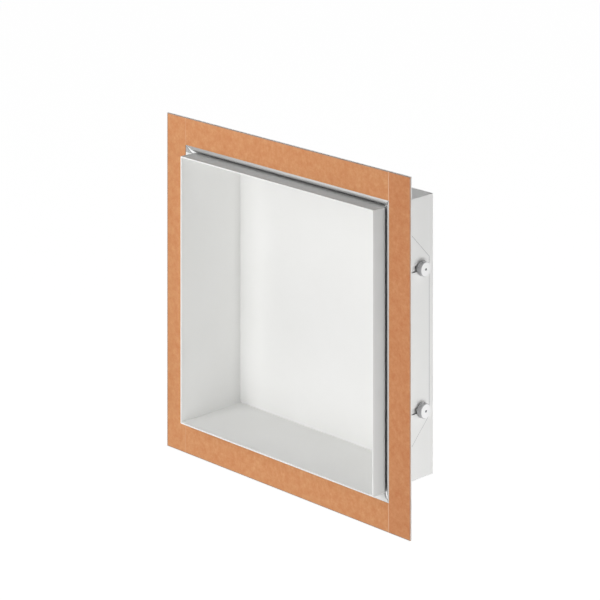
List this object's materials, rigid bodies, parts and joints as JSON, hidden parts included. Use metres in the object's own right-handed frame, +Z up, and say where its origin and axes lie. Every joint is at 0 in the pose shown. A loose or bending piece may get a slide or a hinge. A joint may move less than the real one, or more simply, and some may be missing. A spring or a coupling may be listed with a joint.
{
  "type": "shower niche insert",
  "caption": "White steel niche box that slides in a folded wall flange with an orange sealing membrane and is clamped by knurled thumb nuts",
  "frame": {"origin": "centre of the flange's wall face, on the axis of the niche", "axes": "+X to the right seen from the room, +Y into the wall, +Z up"},
  "size_m": [0.382, 0.0935, 0.382],
  "materials": {
    "niche_coat": "fine matte white powder coat on steel sheet",
    "flange_coat": "fine matte white powder coat on steel sheet",
    "membrane_fleece": "orange sealing membrane faced with thin fleece",
    "stud_steel": "bright zinc on threaded steel",
    "washer_steel": "bright zinc on stamped steel",
    "nut_steel": "turned steel with a straight knurl"
  },
  "bodies": {
    "flange": {"flange_frame": "flange_coat", "membrane_left": "membrane_fleece", "membrane_right": "membrane_fleece", "membrane_top": "membrane_fleece", "membrane_bottom": "membrane_fleece"},
    "niche": {"niche_box": "niche_coat", "clamp_studs": "stud_steel", "clamp_washers": "washer_steel"},
    "nut_left_upper": {"thumb_nut_left_upper": "nut_steel"},
    "nut_left_lower": {"thumb_nut_left_lower": "nut_steel"},
    "nut_right_upper": {"thumb_nut_right_upper": "nut_steel"},
    "nut_right_lower": {"thumb_nut_right_lower": "nut_steel"}
  },
  "joints": [
    {"name": "niche_slide", "type": "slide", "parent": "flange", "child": "niche", "axis": [0, 1, 0], "range_m": [-0.016, 0.004]},
    {"name": "nut_left_upper_turn", "type": "hinge", "parent": "niche", "child": "nut_left_upper", "pos_m": [-0.1545, 0.0536, 0.076], "axis": [-1, 0, 0], "range_deg": [0, 720]},
    {"name": "nut_left_lower_turn", "type": "hinge", "parent": "niche", "child": "nut_left_lower", "pos_m": [-0.1545, 0.0536, -0.076], "axis": [-1, 0, 0], "range_deg": [0, 720]},
    {"name": "nut_right_upper_turn", "type": "hinge", "parent": "niche", "child": "nut_right_upper", "pos_m": [0.1545, 0.0536, 0.076], "axis": [1, 0, 0], "range_deg": [0, 720]},
    {"name": "nut_right_lower_turn", "type": "hinge", "parent": "niche", "child": "nut_right_lower", "pos_m": [0.1545, 0.0536, -0.076], "axis": [1, 0, 0], "range_deg": [0, 720]}
  ]
}
